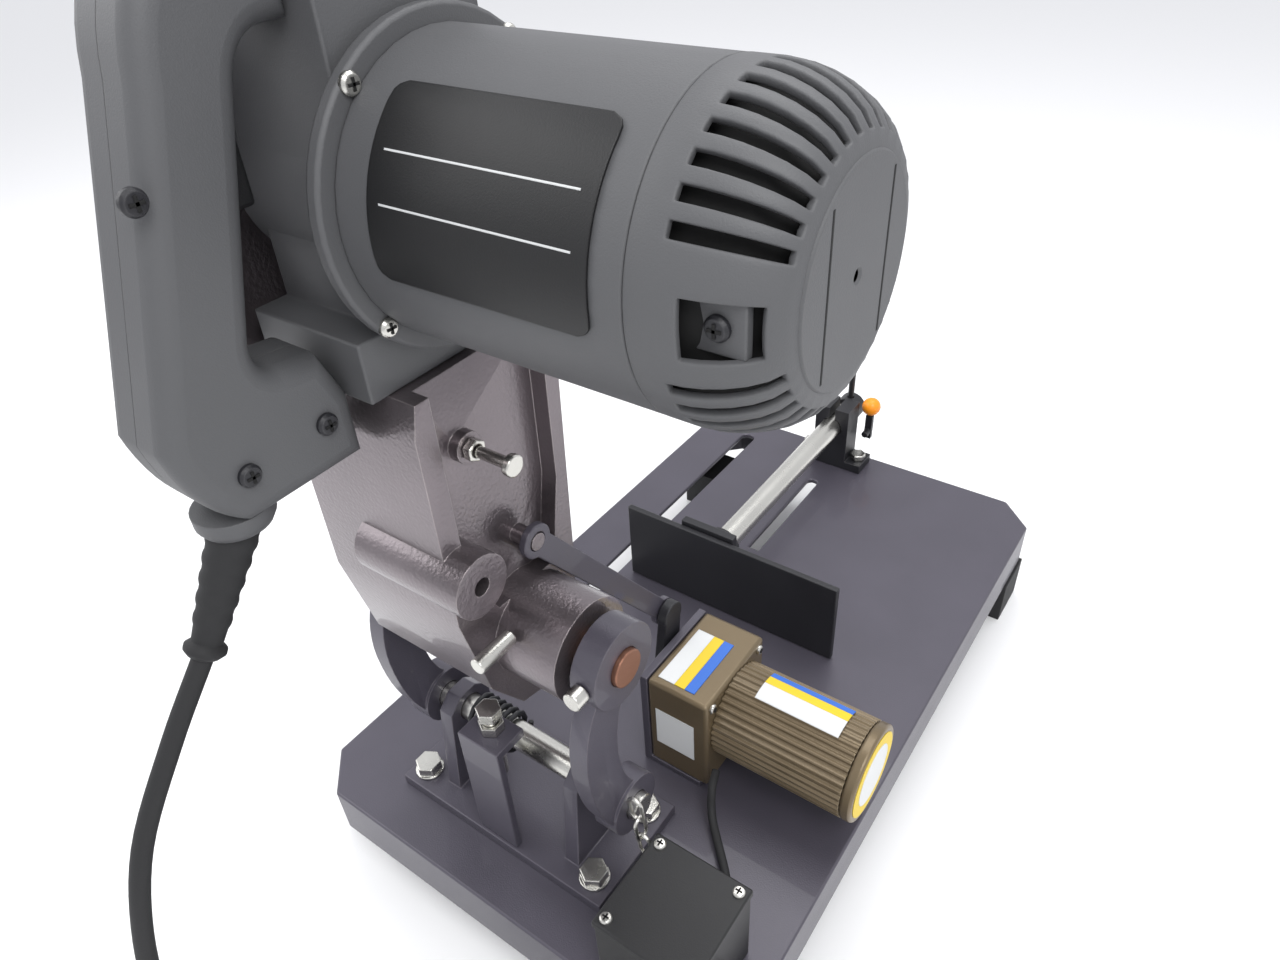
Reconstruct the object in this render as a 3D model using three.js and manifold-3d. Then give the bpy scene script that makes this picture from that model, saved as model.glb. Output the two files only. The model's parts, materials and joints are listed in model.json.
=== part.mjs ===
// A bench cut-off saw for steel: a folded steel table on rubber feet, a hinged head with its
// motor, a screw vise, and a small gear motor that can feed the head through a crank and a link.
// Millimetres. +X is the motor side, +Y points from the hinge to the operator, +Z is up.
// Places are given from the table's rear corner, and the last lines put the origin on the floor
// at the middle of the object's footprint.
import * as THREE from 'three';
import { mergeVertices } from 'three/addons/utils/BufferGeometryUtils.js';
import Module from 'manifold-3d';

const wasm = await Module();
wasm.setup();

// Driving dimensions
const GAP = 0.3; // clearance between neighbouring pieces
const TABLE = { width: 340, length: 562, top: 82, skirt: 40, sheet: 5, wall: 4, chamfer: 27 };
const FOOT = { size: 46, height: TABLE.top - TABLE.skirt - GAP };
const SLOT = { x: 52.7, width: 14, rear: 215, front: 536 };
const VISE_SLOT = { x: 145, width: 10, rear: 380, front: 500 };
const PIVOT = { y: 73, z: 273, pinRadius: 11 }; // the head turns about this pin
const SHAFT = { y: 73, z: 152, radius: 9 };
const ARM = { width: 16, left: 67, right: 222, boss: 25 };
const CASTING = { left: 86, right: 176, rear: 24, front: 118, top: 436, bottom: 214 };
const MOTOR = { y: 75, z: 512, radius: 59, start: 172.3, seam: 296, end: 342 };
const GEAR_CASE = { left: 86.3, rear: 36, right: 165, radius: 43 };
const HANDLE = { x: 132, halfWidth: 19, back: -62, top: 612 };
const CRANK = { y: 181, z: 131, arm: 53, lean: 8 };
const GEARBOX = { left: 197, right: 243, size: 74 };
const FEED_MOTOR = { radius: 33, end: 342 };
const BOX = { x: 259, y: 3, width: 62, height: 62, lid: 6 };
const SCREW = { x: 145, z: TABLE.top + 45, radius: 10, front: 556 };
const JAW = { y: 296, thickness: 5, left: 71, right: 261, height: 74 };
const CORD = { radius: 4.5, sides: 8, steps: 34 };
const COIL = { x: 190, y: -115, inner: 36.5, outer: 68, height: 18.4 };
const FOOTPRINT = { rear: HANDLE.back, front: 580 };

// Shapes
const box = (x0, x1, y0, y1, z0, z1) => new THREE.BoxGeometry(x1 - x0, y1 - y0, z1 - z0)
  .translate((x0 + x1) / 2, (y0 + y1) / 2, (z0 + z1) / 2);
const rodX = (r, x0, x1, y, z, sides = 24, r2 = r) => new THREE.CylinderGeometry(r2, r, x1 - x0, sides)
  .rotateZ(-Math.PI / 2).translate((x0 + x1) / 2, y, z);
const rodY = (r, y0, y1, x, z, sides = 20, r2 = r) => new THREE.CylinderGeometry(r2, r, y1 - y0, sides)
  .translate(x, (y0 + y1) / 2, z);
const rodZ = (r, z0, z1, x, y, sides = 16, r2 = r) => new THREE.CylinderGeometry(r2, r, z1 - z0, sides)
  .rotateX(Math.PI / 2).translate(x, y, (z0 + z1) / 2);
const extrude = (shape, depth) => new THREE.ExtrudeGeometry(shape, {
  depth, bevelEnabled: false, curveSegments: 10,
});
const plateZ = (shape, z0, z1) => extrude(shape, z1 - z0).translate(0, 0, z0);
const SIDEWAYS = new THREE.Matrix4().makeBasis(
  new THREE.Vector3(0, 1, 0), new THREE.Vector3(0, 0, 1), new THREE.Vector3(1, 0, 0),
);
// A side view drawn in (y, z), given the width from x0 to x1
const plateX = (shape, x0, x1) => extrude(shape, x1 - x0).applyMatrix4(SIDEWAYS).translate(x0, 0, 0);
const outline = (points) => new THREE.Shape(points.map(([a, b]) => new THREE.Vector2(a, b)));

// A profile of (radius, distance) turned about the X direction
const turned = (profile, sides) => new THREE.LatheGeometry(
  profile.map(([r, h]) => new THREE.Vector2(r, h)),
  sides,
).rotateZ(-Math.PI / 2);

// Booleans
function solid(geometry) {
  const bare = geometry.clone();
  bare.deleteAttribute('normal');
  bare.deleteAttribute('uv');
  const merged = mergeVertices(bare, 1e-4);
  return new wasm.Manifold(new wasm.Mesh({
    numProp: 3,
    vertProperties: new Float32Array(merged.attributes.position.array),
    triVerts: new Uint32Array(merged.index.array),
  }));
}
function geometryOf(body) {
  const mesh = body.getMesh();
  const geometry = new THREE.BufferGeometry();
  geometry.setAttribute('position', new THREE.BufferAttribute(mesh.vertProperties, 3));
  geometry.setIndex(new THREE.BufferAttribute(mesh.triVerts, 1));
  geometry.computeVertexNormals();
  return geometry;
}
const join = (...parts) => geometryOf(parts.map(solid).reduce((a, b) => a.add(b)));
const cut = (base, ...tools) => geometryOf(tools.map(solid).reduce((a, b) => a.subtract(b), solid(base)));

// Finishes: colour, roughness, metalness
const FINISH = {
  tableGrey: [0x4a464e, 0.5, 0.3],
  paintedCast: [0x5f5a5e, 0.45, 0.5],
  plastic: [0x57585a, 0.6, 0],
  blackPlastic: [0x141416, 0.6, 0],
  rubber: [0x1a1a1a, 0.9, 0],
  zinc: [0xb4b4ae, 0.35, 1],
  olive: [0x7a6a4c, 0.45, 0.6],
  orange: [0xf0900c, 0.5, 0],
  black: [0x1c1c1f, 0.5, 0.4],
  copper: [0xa0603c, 0.45, 0.9],
};
const saw = new THREE.Group();
function piece(name, geometry, finish) {
  const [color, roughness, metalness] = FINISH[finish];
  const mesh = new THREE.Mesh(geometry, new THREE.MeshStandardMaterial({ color, roughness, metalness }));
  mesh.name = name;
  saw.add(mesh);
}

// Table and feet
function tableOutline(inset) {
  const c = TABLE.chamfer;
  const [x1, y1] = [TABLE.width - inset, TABLE.length - inset];
  return outline([[inset + c, inset], [x1 - c, inset], [x1, inset + c], [x1, y1 - c], [x1 - c, y1],
    [inset + c, y1], [inset, y1 - c], [inset, inset + c]]);
}
function slotTool(slot) {
  const r = slot.width / 2;
  return join(
    box(slot.x - r, slot.x + r, slot.rear, slot.front - r, TABLE.top - 20, TABLE.top + 5),
    rodZ(r, TABLE.top - 20, TABLE.top + 5, slot.x, slot.front - r, 20),
  );
}
function table() {
  const shell = plateZ(tableOutline(0), TABLE.top - TABLE.skirt, TABLE.top);
  const inside = plateZ(tableOutline(TABLE.wall), TABLE.top - TABLE.skirt - 5, TABLE.top - TABLE.sheet);
  piece('base_table', cut(shell, inside, slotTool(SLOT), slotTool(VISE_SLOT)), 'tableGrey');
  const reach = 2;
  for (const [side, x] of [['left', -reach], ['right', TABLE.width - FOOT.size + reach]]) {
    for (const [end, y] of [['rear', 22], ['front', TABLE.length - FOOT.size - 22]]) {
      const block = box(x, x + FOOT.size, y, y + FOOT.size, 0, FOOT.height);
      const arch = box(x + 12, x + FOOT.size - 12, y - 1, y + FOOT.size + 1, -1, 12);
      piece(`foot_${end}_${side}`, cut(block, arch), 'rubber');
    }
  }
}

// Fasteners
const hexRadius = (across) => across / 2 / Math.cos(Math.PI / 6);
const hexHead = (across, z0, height, x, y) => rodZ(hexRadius(across), z0, z0 + height, x, y, 6);
const boltAndWasher = (x, y, z) => join(rodZ(10, z, z + 2, x, y, 16), hexHead(16, z + 1.9, 7, x, y));

// The hinge stand: bracket, two curved arms, lower shaft, spring, hinge pin
const BRACKET = { left: 62, right: 234, rear: 34, front: 118, top: TABLE.top + GAP + 8 };
function hingeStand() {
  const base = box(BRACKET.left, BRACKET.right, BRACKET.rear, BRACKET.front, TABLE.top + GAP, BRACKET.top);
  const ear = (x0, x1) => plateX(outline([[48, BRACKET.top - 1], [98, BRACKET.top - 1], [90, 158],
    [80, 167], [66, 167], [56, 158]]), x0, x1);
  const bore = rodX(SHAFT.radius + GAP, 80, 230, SHAFT.y, SHAFT.z);
  piece('pivot_bracket', cut(join(base, ear(92, 103), ear(196, 207)), bore), 'tableGrey');
  let count = 0;
  for (const x of [BRACKET.left + 12, BRACKET.right - 14]) {
    for (const y of [BRACKET.rear + 14, BRACKET.front - 14]) {
      count += 1;
      piece(`bracket_bolt_${count}`, boltAndWasher(x, y, BRACKET.top + GAP), 'zinc');
    }
  }
  for (const side of ['left', 'right']) curvedArm(side);
  const clampScrew = rodY(5.5, PIVOT.y - ARM.boss - 9, PIVOT.y - ARM.boss - GAP, ARM.right + 8, PIVOT.z, 12);
  piece('pin_clamp_screw', clampScrew, 'zinc');
  piece('lower_shaft', rodX(SHAFT.radius, ARM.left - 4, ARM.right + ARM.width + 5, SHAFT.y, SHAFT.z), 'zinc');
  piece('return_spring', springGeometry(), 'black');
  const pin = rodX(PIVOT.pinRadius, ARM.left - 3, ARM.right + ARM.width + 3, PIVOT.y, PIVOT.z);
  piece('pivot_pin', pin, 'copper');
  stopBolt();
}
function curvedArm(side) {
  const x0 = ARM[side];
  const x1 = x0 + ARM.width;
  const [backX, depth, half] = [SHAFT.y - 20, 34, 11];
  const middle = (PIVOT.z + SHAFT.z) / 2;
  const bow = new THREE.Shape();
  bow.moveTo(PIVOT.y - 12, PIVOT.z);
  bow.quadraticCurveTo(backX - depth / 2, PIVOT.z - 20, backX - half - 4, middle);
  bow.quadraticCurveTo(backX - half, SHAFT.z + 8, SHAFT.y - 8, SHAFT.z - 14);
  bow.lineTo(SHAFT.y + 12, SHAFT.z + 10);
  bow.quadraticCurveTo(backX + half + 2, SHAFT.z + 22, backX + half, middle);
  bow.quadraticCurveTo(backX + half, PIVOT.z - 22, PIVOT.y + 12, PIVOT.z - 12);
  bow.closePath();
  const body = join(
    plateX(bow, x0 + 2, x1 - 2),
    rodX(ARM.boss, x0, x1, PIVOT.y, PIVOT.z, 28),
    rodX(ARM.boss - 5, x0, x1, SHAFT.y, SHAFT.z, 24),
  );
  const holes = join(
    rodX(PIVOT.pinRadius + GAP, x0 - 5, x1 + 5, PIVOT.y, PIVOT.z),
    rodX(SHAFT.radius + GAP, x0 - 5, x1 + 5, SHAFT.y, SHAFT.z),
  );
  piece(`pivot_arm_${side}`, cut(body, holes), 'tableGrey');
}
function springGeometry() {
  const turns = 6;
  const wire = 2;
  const steps = 60;
  const points = [];
  for (let i = 0; i <= steps; i += 1) {
    const angle = (i / steps) * turns * 2 * Math.PI;
    const r = SHAFT.radius + wire + 1.5;
    points.push(new THREE.Vector3(112 + (i / steps) * turns * 5.5, SHAFT.y + r * Math.cos(angle),
      SHAFT.z + r * Math.sin(angle)));
  }
  const section = new THREE.Shape();
  section.absarc(0, 0, wire, 0, 2 * Math.PI);
  return new THREE.ExtrudeGeometry(section, {
    steps: 72, extrudePath: new THREE.CatmullRomCurve3(points), curveSegments: 3,
  });
}
function stopBolt() {
  const [x, y, plateTop] = [150, 50, 186];
  const shelf = join(box(x - 16, x + 16, y - 14, y + 10, plateTop - 6, plateTop),
    box(x - 16, x + 16, y - 14, y - 9, BRACKET.top + GAP, plateTop - 1));
  piece('stop_shelf', cut(shelf, rodZ(5.3, plateTop - 9, plateTop + 2, x, y)), 'tableGrey');
  const bolt = join(rodZ(5, plateTop - 40, plateTop + 14, x, y), hexHead(14, plateTop + 12, 7, x, y));
  piece('stop_bolt', bolt, 'zinc');
  const nut = cut(hexHead(14, plateTop + GAP, 7, x, y), rodZ(5.3, plateTop - 2, plateTop + 12, x, y));
  piece('stop_nut', nut, 'zinc');
}

// The vise: block, screw, jaw, and quick-release lever
function vise() {
  const [x, top] = [SCREW.x, TABLE.top];
  const block = join(
    box(x - 17, x + 17, 530, 554, top + GAP, top + 66),
    box(x - 33, x + 33, 530, 556, top + GAP, top + 9),
  );
  const slit = box(x - 3, x + 3, 520, 560, top + 40, top + 72);
  piece('screw_block', cut(block, rodY(SCREW.radius + GAP, 520, 560, x, SCREW.z), slit), 'black');
  for (const [side, across] of [['left', -25.2], ['right', 25.2]]) {
    piece(`block_bolt_${side}`, hexHead(13, top + 9 + GAP, 6, x + across, 543), 'zinc');
  }
  piece('vise_screw', rodY(SCREW.radius, JAW.y + 32, SCREW.front + 8, x, SCREW.z), 'zinc');
  const hubMiddle = SCREW.front + 16;
  const hub = cut(
    rodY(13, SCREW.front + 8 + GAP, SCREW.front + 24, x, SCREW.z),
    rodZ(3.3, SCREW.z - 20, SCREW.z + 20, x, hubMiddle),
  );
  piece('handle_hub', hub, 'black');
  piece('screw_handle', rodZ(3, SCREW.z - 32, SCREW.z + 44, x, hubMiddle, 12), 'black');
  const j = JAW;
  const face = box(j.left, j.right, j.y, j.y + j.thickness, top + 1, top + j.height);
  piece('vise_jaw', face, 'black');
  const nose = join(
    box(x - 24, x + 24, j.y + j.thickness + GAP, j.y + 12, top + 12, top + 78),
    rodY(16, j.y + 11, j.y + 31.5, x, SCREW.z),
  );
  piece('jaw_bracket', nose, 'black');
  piece('release_lever', join(rodY(3.2, 554 + GAP, 566, x + 25, top + 30, 12),
    box(x + 21.5, x + 28.5, 562, 567, top + 22, top + 48)), 'black');
  const bead = new THREE.SphereGeometry(9, 16, 10).translate(x + 25, 565, top + 57.5);
  piece('lever_knob', bead, 'orange');
}

// The feed drive: bracket, gearbox, gear motor, crank and link
const CRANK_TIP = { y: CRANK.y + CRANK.lean, z: CRANK.z + CRANK.arm };
const LINK = { dy: CRANK.y - PIVOT.y, dz: CRANK.z - PIVOT.z };
const LINK_TOP = { y: PIVOT.y + CRANK.lean, z: PIVOT.z + CRANK.arm };
function feedDrive() {
  const half = GEARBOX.size / 2;
  const [gl, gr] = [GEARBOX.left, GEARBOX.right];
  const top = TABLE.top;
  const plate = join(
    box(gl - 6, gl - GAP, CRANK.y - half, CRANK.y + half, top + GAP, CRANK.z + half),
    box(gl - 6, gl + 40, CRANK.y - half, CRANK.y + half, top + GAP, top + 5),
  );
  piece('motor_bracket', cut(plate, rodX(14, gl - 10, gl + 4, CRANK.y, CRANK.z)), 'tableGrey');
  piece('gearbox', box(gl, gr, CRANK.y - half, CRANK.y + half, top + 5 + GAP, CRANK.z + half), 'olive');
  const r = FEED_MOTOR.radius;
  piece('feed_motor', rodX(r, gr + GAP, FEED_MOTOR.end - 8, CRANK.y, CRANK.z + 3, 32), 'olive');
  const cap = rodX(r, FEED_MOTOR.end - 8 + GAP, FEED_MOTOR.end, CRANK.y, CRANK.z + 3, 32);
  piece('feed_motor_cap', cap, 'olive');
  const arm = join(
    plateX(outline([[CRANK.y - 11, CRANK.z], [CRANK.y + 11, CRANK.z], [CRANK_TIP.y + 9, CRANK_TIP.z],
      [CRANK_TIP.y - 9, CRANK_TIP.z]]), 182, 189),
    rodX(13, 182, 189, CRANK.y, CRANK.z),
    rodX(10, 182, 189, CRANK_TIP.y, CRANK_TIP.z),
    rodX(8, 188, gl - GAP, CRANK.y, CRANK.z),
    rodX(5, 176, 183, CRANK_TIP.y, CRANK_TIP.z),
  );
  piece('feed_crank', arm, 'black');
  const linkHoles = join(
    rodX(5.4, 170, 190, LINK_TOP.y, LINK_TOP.z),
    rodX(5.4, 170, 190, CRANK_TIP.y, CRANK_TIP.z),
  );
  const linkBody = join(
    linkBar(LINK_TOP, CRANK_TIP),
    rodX(10, 176 + GAP * 2, 181, LINK_TOP.y, LINK_TOP.z),
    rodX(10, 176 + GAP * 2, 181, CRANK_TIP.y, CRANK_TIP.z),
  );
  piece('feed_link', cut(linkBody, linkHoles), 'zinc');
}
function linkBar(a, b) {
  const along = new THREE.Vector2(b.y - a.y, b.z - a.z).normalize().multiplyScalar(7);
  const side = [[a.y - along.y, a.z + along.x], [a.y + along.y, a.z - along.x],
    [b.y + along.y, b.z - along.x], [b.y - along.y, b.z + along.x]];
  return plateX(outline(side), 176 + GAP * 2, 181);
}

// The control box on the table and the gear motor's lead
function controlBox() {
  const [x0, x1, y0, y1] = [BOX.x, BOX.x + BOX.width, BOX.y, BOX.y + BOX.width];
  const z0 = TABLE.top + GAP;
  const z1 = z0 + BOX.height;
  const shell = cut(box(x0, x1, y0, y1, z0, z1), box(x0 + 3, x1 - 3, y0 + 3, y1 - 3, z0 + 3, z1 + 1));
  piece('control_box', cut(shell, rodX(5, x1 - 8, x1 + 4, 30, z0 + 30)), 'blackPlastic');
  piece('control_box_lid', box(x0 - 1, x1 + 1, y0 - 1, y1 + 1, z1 + GAP, z1 + BOX.lid), 'blackPlastic');
  const gland = join(rodX(8, x1 + GAP, x1 + 10, 30, z0 + 30, 6), rodX(6, x1 + 9, x1 + 16, 30, z0 + 30));
  piece('cable_gland', gland, 'blackPlastic');
}

// The head: casting, gear case, motor, handle
const pinHole = () => rodX(PIVOT.pinRadius + GAP, CASTING.left - 10, 230, PIVOT.y, PIVOT.z);
function casting() {
  const c = CASTING;
  const side = outline([[c.rear + 4, c.top], [c.rear, 420], [c.rear, 310], [36, 252], [56, 222],
    [88, c.bottom],
    [106, 236], [112, 290], [c.front - 4, 350], [c.front, c.top]]);
  const recessOutline = outline([[c.rear + 12, c.top + 5], [c.rear + 12, 330], [52, 300], [96, 300],
    [c.front - 12, 350], [c.front - 10, c.top + 5]]);
  const recess = plateX(recessOutline, c.right - 10, c.right + 5);
  const body = cut(plateX(side, c.left, c.right), recess);
  const boss = rodX(30, c.left + 2, ARM.right - 6, PIVOT.y, PIVOT.z, 28);
  const ear = rodX(17, 120, c.right + 14, 32, 338, 24);
  const screwBoss = rodX(8, c.right - 12, c.right - 4, 56, 397, 16);
  const threadHole = rodX(5, c.right - 10, c.right + 20, 32, 338, 16);
  const linkPin = rodX(5, c.right - 12, c.right + 5.4, LINK_TOP.y, LINK_TOP.z, 16);
  const drilled = cut(join(body, boss, ear, screwBoss), pinHole(), threadHole);
  piece('arm_casting', join(drilled, linkPin), 'paintedCast');
  const limit = { y: 56, z: 397 };
  const limitScrew = join(
    rodX(3, c.right + 1.5, c.right + 22, limit.y, limit.z, 12),
    rodX(5.5, c.right + 20, c.right + 24, limit.y, limit.z, 16),
  );
  piece('limit_screw', limitScrew, 'zinc');
  const limitNut = rodX(5.8, c.right - 4 + GAP, c.right + 1.2, limit.y, limit.z, 6);
  piece('limit_nut', cut(limitNut, rodX(3.3, 160, 200, limit.y, limit.z, 12)), 'zinc');
  piece('latch_pin', rodY(4.5, 20, 45, 188, 292, 14), 'zinc');
}
function headHousings() {
  const m = MOTOR;
  const g = GEAR_CASE;
  const caseSide = join(
    rodX(g.radius, g.left, g.right, m.y, m.z, 48),
    box(g.left + 8, g.right - 4, CASTING.rear - 5, CASTING.front - 6, CASTING.top + GAP, 464),
    box(g.left + 8, g.right - 4, g.rear, CASTING.front - 6, 463, HANDLE.top),
  );
  const cavity = rodX(36, g.left - 4, g.right - 14, m.y, m.z, 32);
  const window = rodX(20, g.left, g.right + 8, m.y, m.z, 24);
  piece('gear_case', cut(caseSide, cavity, window), 'plastic');
  const dish = [[20, 0], [48, 3], [72, 10], [88, 20], [90, 26], [86, 26], [68, 13], [20, 5], [20, 0]];
  piece('guard_dish', turned(dish, 28).translate(g.left - GAP - 26, m.y, m.z), 'paintedCast');
  const flange = rodX(66, g.right + GAP, m.start - GAP, m.y, m.z, 48);
  piece('motor_flange', cut(flange, rodX(24, 150, 200, m.y, m.z)), 'plastic');
  const housing = cut(
    rodX(m.radius, m.start, m.seam, m.y, m.z, 40),
    rodX(m.radius - 4, m.start + 4, m.seam + 4, m.y, m.z, 32),
    rodX(10, m.start - 4, m.start + 8, m.y, m.z),
  );
  piece('motor_housing', housing, 'plastic');
  const capProfile = [[0, 46], [44, 46], [50, 42], [57, 28], [m.radius, 14], [m.radius, 0], [m.radius - 4, 0],
    [m.radius - 4, 14], [46, 40], [0, 42]];
  piece('motor_end_cap', turned(capProfile.reverse(), 40).translate(m.seam + GAP, m.y, m.z), 'plastic');
}
function driveTrain() {
  const m = MOTOR;
  piece('stator', cut(rodX(54, 186, 268, m.y, m.z, 32), rodX(34, 180, 275, m.y, m.z, 28)), 'black');
  const [core, shaft] = [rodX(32, 190, 264, m.y, m.z, 24), rodX(7, 110.5, 290, m.y, m.z, 16)];
  piece('armature', join(core, shaft, rodX(18, 270, 286, m.y, m.z)), 'copper');
  piece('spindle', rodX(9, 30, 110, m.y, m.z, 20), 'zinc');
  const flange = (x0, x1) => cut(rodX(24, x0, x1, m.y, m.z, 28), rodX(9.3, x0 - 2, x1 + 2, m.y, m.z, 20));
  piece('inner_flange', flange(54.5, 58.5), 'zinc');
  piece('outer_flange', flange(45, 51), 'zinc');
  piece('arbor_nut', cut(rodX(14, 35, 44.5, m.y, m.z, 6), rodX(9.3, 30, 50, m.y, m.z, 20)), 'zinc');
}
function handle() {
  const outer = new THREE.Shape();
  outer.moveTo(18, 410);
  outer.lineTo(-40, 410);
  outer.quadraticCurveTo(-58, 424, HANDLE.back, 454);
  outer.lineTo(-26, 570);
  outer.quadraticCurveTo(-18, HANDLE.top, 12, HANDLE.top);
  outer.lineTo(GEAR_CASE.rear - GAP, HANDLE.top);
  outer.lineTo(GEAR_CASE.rear - GAP, 578);
  outer.lineTo(24, 578);
  outer.quadraticCurveTo(12, 576, 8, 560);
  outer.lineTo(-16, 478);
  outer.quadraticCurveTo(-18, 466, -8, 464);
  outer.lineTo(9, 462);
  outer.lineTo(18, 440);
  outer.closePath();
  const { x, halfWidth } = HANDLE;
  const slot = box(x - 6, x + 6, -18, 12, 518, 550);
  const halves = [['left', x - halfWidth, x - GAP / 2], ['right', x + GAP / 2, x + halfWidth]];
  for (const [side, x0, x1] of halves) {
    const shell = plateX(outer, x0, x1);
    piece(`handle_${side}`, cut(shell, slot), 'plastic');
  }
  piece('trigger', box(x - 5, x + 5, -12, 10, 520, 548), 'blackPlastic');
  piece('cord_boot', cordBoot(), 'rubber');
}

// The mains cord, its coil and its plug
const CORD_EXIT = new THREE.Vector3(130, -37, 403);
const CORD_POINTS = [[130, -72, 352], [130, -99, 322], [129, -128, 282], [128, -146, 235], [127, -156, 185],
  [125, -160, 130], [122, -160, 85], [122, -160, 50], [122, -158, 36], [122, -151, 23], [122, -143, 14.6]];
function cordBoot() {
  const end = new THREE.Vector3(...CORD_POINTS[0]);
  const along = end.clone().sub(CORD_EXIT);
  const boot = new THREE.CylinderGeometry(6.2, 11, along.length() - 2, 16);
  const upright = new THREE.Vector3(0, 1, 0);
  boot.applyQuaternion(new THREE.Quaternion().setFromUnitVectors(upright, along.normalize()));
  return boot.translate(...CORD_EXIT.clone().add(end).multiplyScalar(0.5).toArray());
}
function mainsCord() {
  const section = new THREE.Shape();
  for (let i = 0; i < CORD.sides; i += 1) {
    const a = (i / CORD.sides) * 2 * Math.PI;
    section[i ? 'lineTo' : 'moveTo'](CORD.radius * Math.cos(a), CORD.radius * Math.sin(a));
  }
  const path = new THREE.CatmullRomCurve3(CORD_POINTS.map((p) => new THREE.Vector3(...p)));
  piece('mains_cord', new THREE.ExtrudeGeometry(section, { steps: CORD.steps, extrudePath: path }), 'rubber');
  const { inner, outer, height } = COIL;
  const ring = [[inner, 0], [outer, 0], [outer, height], [inner, height], [inner, 0]];
  piece('cord_coil', new THREE.LatheGeometry(ring.map(([r, h]) => new THREE.Vector2(r, h)), 32)
    .rotateX(Math.PI / 2).translate(COIL.x, COIL.y, 0), 'rubber');
  const [plugY, plugZ] = [COIL.y + 64, 19];
  piece('mains_plug', join(rodX(6, 230, 250, plugY, plugZ, 16, 9), rodX(14, 249, 270, plugY, plugZ, 24, 19),
    rodX(19, 269, 284, plugY, plugZ, 24), rodX(2.4, 283, 302, plugY - 9.5, plugZ, 10),
    rodX(2.4, 283, 302, plugY + 9.5, plugZ, 10)), 'rubber');
}

table();
hingeStand();
vise();
feedDrive();
controlBox();
casting();
headHousings();
driveTrain();
handle();
mainsCord();
saw.position.set(-TABLE.width / 2, -(FOOTPRINT.rear + FOOTPRINT.front) / 2, 0);
export default saw;
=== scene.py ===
import json
import math

import bmesh
import bpy
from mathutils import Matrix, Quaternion, Vector


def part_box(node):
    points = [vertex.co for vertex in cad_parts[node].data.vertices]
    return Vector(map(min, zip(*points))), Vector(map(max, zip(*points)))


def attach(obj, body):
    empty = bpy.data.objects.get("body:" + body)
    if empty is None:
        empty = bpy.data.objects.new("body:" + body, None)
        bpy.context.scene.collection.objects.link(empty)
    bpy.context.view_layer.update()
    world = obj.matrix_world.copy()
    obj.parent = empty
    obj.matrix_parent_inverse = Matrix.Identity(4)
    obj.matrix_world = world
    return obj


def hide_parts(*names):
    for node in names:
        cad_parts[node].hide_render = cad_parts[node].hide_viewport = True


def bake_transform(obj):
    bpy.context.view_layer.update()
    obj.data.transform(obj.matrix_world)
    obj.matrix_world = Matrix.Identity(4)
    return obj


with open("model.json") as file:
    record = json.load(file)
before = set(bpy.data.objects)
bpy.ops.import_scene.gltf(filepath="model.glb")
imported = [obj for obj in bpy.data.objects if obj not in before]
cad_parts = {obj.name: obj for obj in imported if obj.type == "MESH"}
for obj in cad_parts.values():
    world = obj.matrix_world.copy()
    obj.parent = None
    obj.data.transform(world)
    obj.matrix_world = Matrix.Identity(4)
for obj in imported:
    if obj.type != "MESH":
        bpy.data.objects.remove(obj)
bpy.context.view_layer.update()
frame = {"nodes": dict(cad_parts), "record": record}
MM = 0.001
BODY_OF = {node: body for body, nodes in frame["record"]["behaviour"]["bodies"].items() for node in nodes}
SLOT_OF = {part["node"]: part["material_slot"] for part in frame["record"]["subparts"]}
TABLE_REAR_LEFT = (-170, -259)
SIDES = (("rear", -1), ("front", 1))


# ---------------------------------------------------------------- places
def spot(x, y, z):
    """A place in millimetres from the table's rear left corner, as in the part's own drawing."""
    return Vector(((x + TABLE_REAR_LEFT[0]) * MM, (y + TABLE_REAR_LEFT[1]) * MM, z * MM))


def corners(node):
    return [Vector(corner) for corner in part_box(node)]


def middle(node):
    low, high = corners(node)
    return (low + high) / 2


def axis_through(node):
    """Where the node's own axis along X crosses the plane x = 0."""
    centre = middle(node)
    return Vector((0, centre.y, centre.z))


def round_x(axis, along, radius, angle):
    """A point round an axis along X, at an angle from +Y towards +Z."""
    return axis + Vector((along, radius * math.cos(angle), radius * math.sin(angle)))


MOTOR_AXIS = axis_through("motor_housing")


# ---------------------------------------------------------------- camera, floor and light
CAMERA_PLACE = Vector((0.2749, -0.4339, 0.6353))
CAMERA_LOOKS = Vector((-0.4847, 0.6353, -0.6012))
CAMERA_ROLL = math.radians(-3.53)
CAMERA_LENS = 25.93
FLOOR_REACH = 6
FLOOR_COLOUR = (0.9, 0.9, 0.9, 1)
FLOOR_ROUGHNESS = 0.9
SKY_COLOUR = (0.95, 0.96, 1, 1)
SKY_STRENGTH = 0.9


def make_camera():
    data = bpy.data.cameras.new("camera")
    data.lens = CAMERA_LENS
    data.sensor_width = 36
    data.clip_start = 0.01
    camera = bpy.data.objects.new("camera", data)
    bpy.context.scene.collection.objects.link(camera)
    camera.location = CAMERA_PLACE
    camera.rotation_mode = "QUATERNION"
    level = CAMERA_LOOKS.to_track_quat("-Z", "Y")
    camera.rotation_quaternion = level @ Quaternion((0, 0, 1), CAMERA_ROLL)
    bpy.context.scene.camera = camera


def area_light(name, place, target, size, power):
    data = bpy.data.lights.new(name, "AREA")
    data.size = size
    data.energy = power
    light = bpy.data.objects.new(name, data)
    light.location = place
    light.rotation_euler = (Vector(target) - Vector(place)).to_track_quat("-Z", "Y").to_euler()
    bpy.context.scene.collection.objects.link(light)


def make_sky():
    world = bpy.data.worlds.new("studio")
    world.use_nodes = True
    background = world.node_tree.nodes["Background"]
    background.inputs["Color"].default_value = SKY_COLOUR
    background.inputs["Strength"].default_value = SKY_STRENGTH
    bpy.context.scene.world = world


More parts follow.
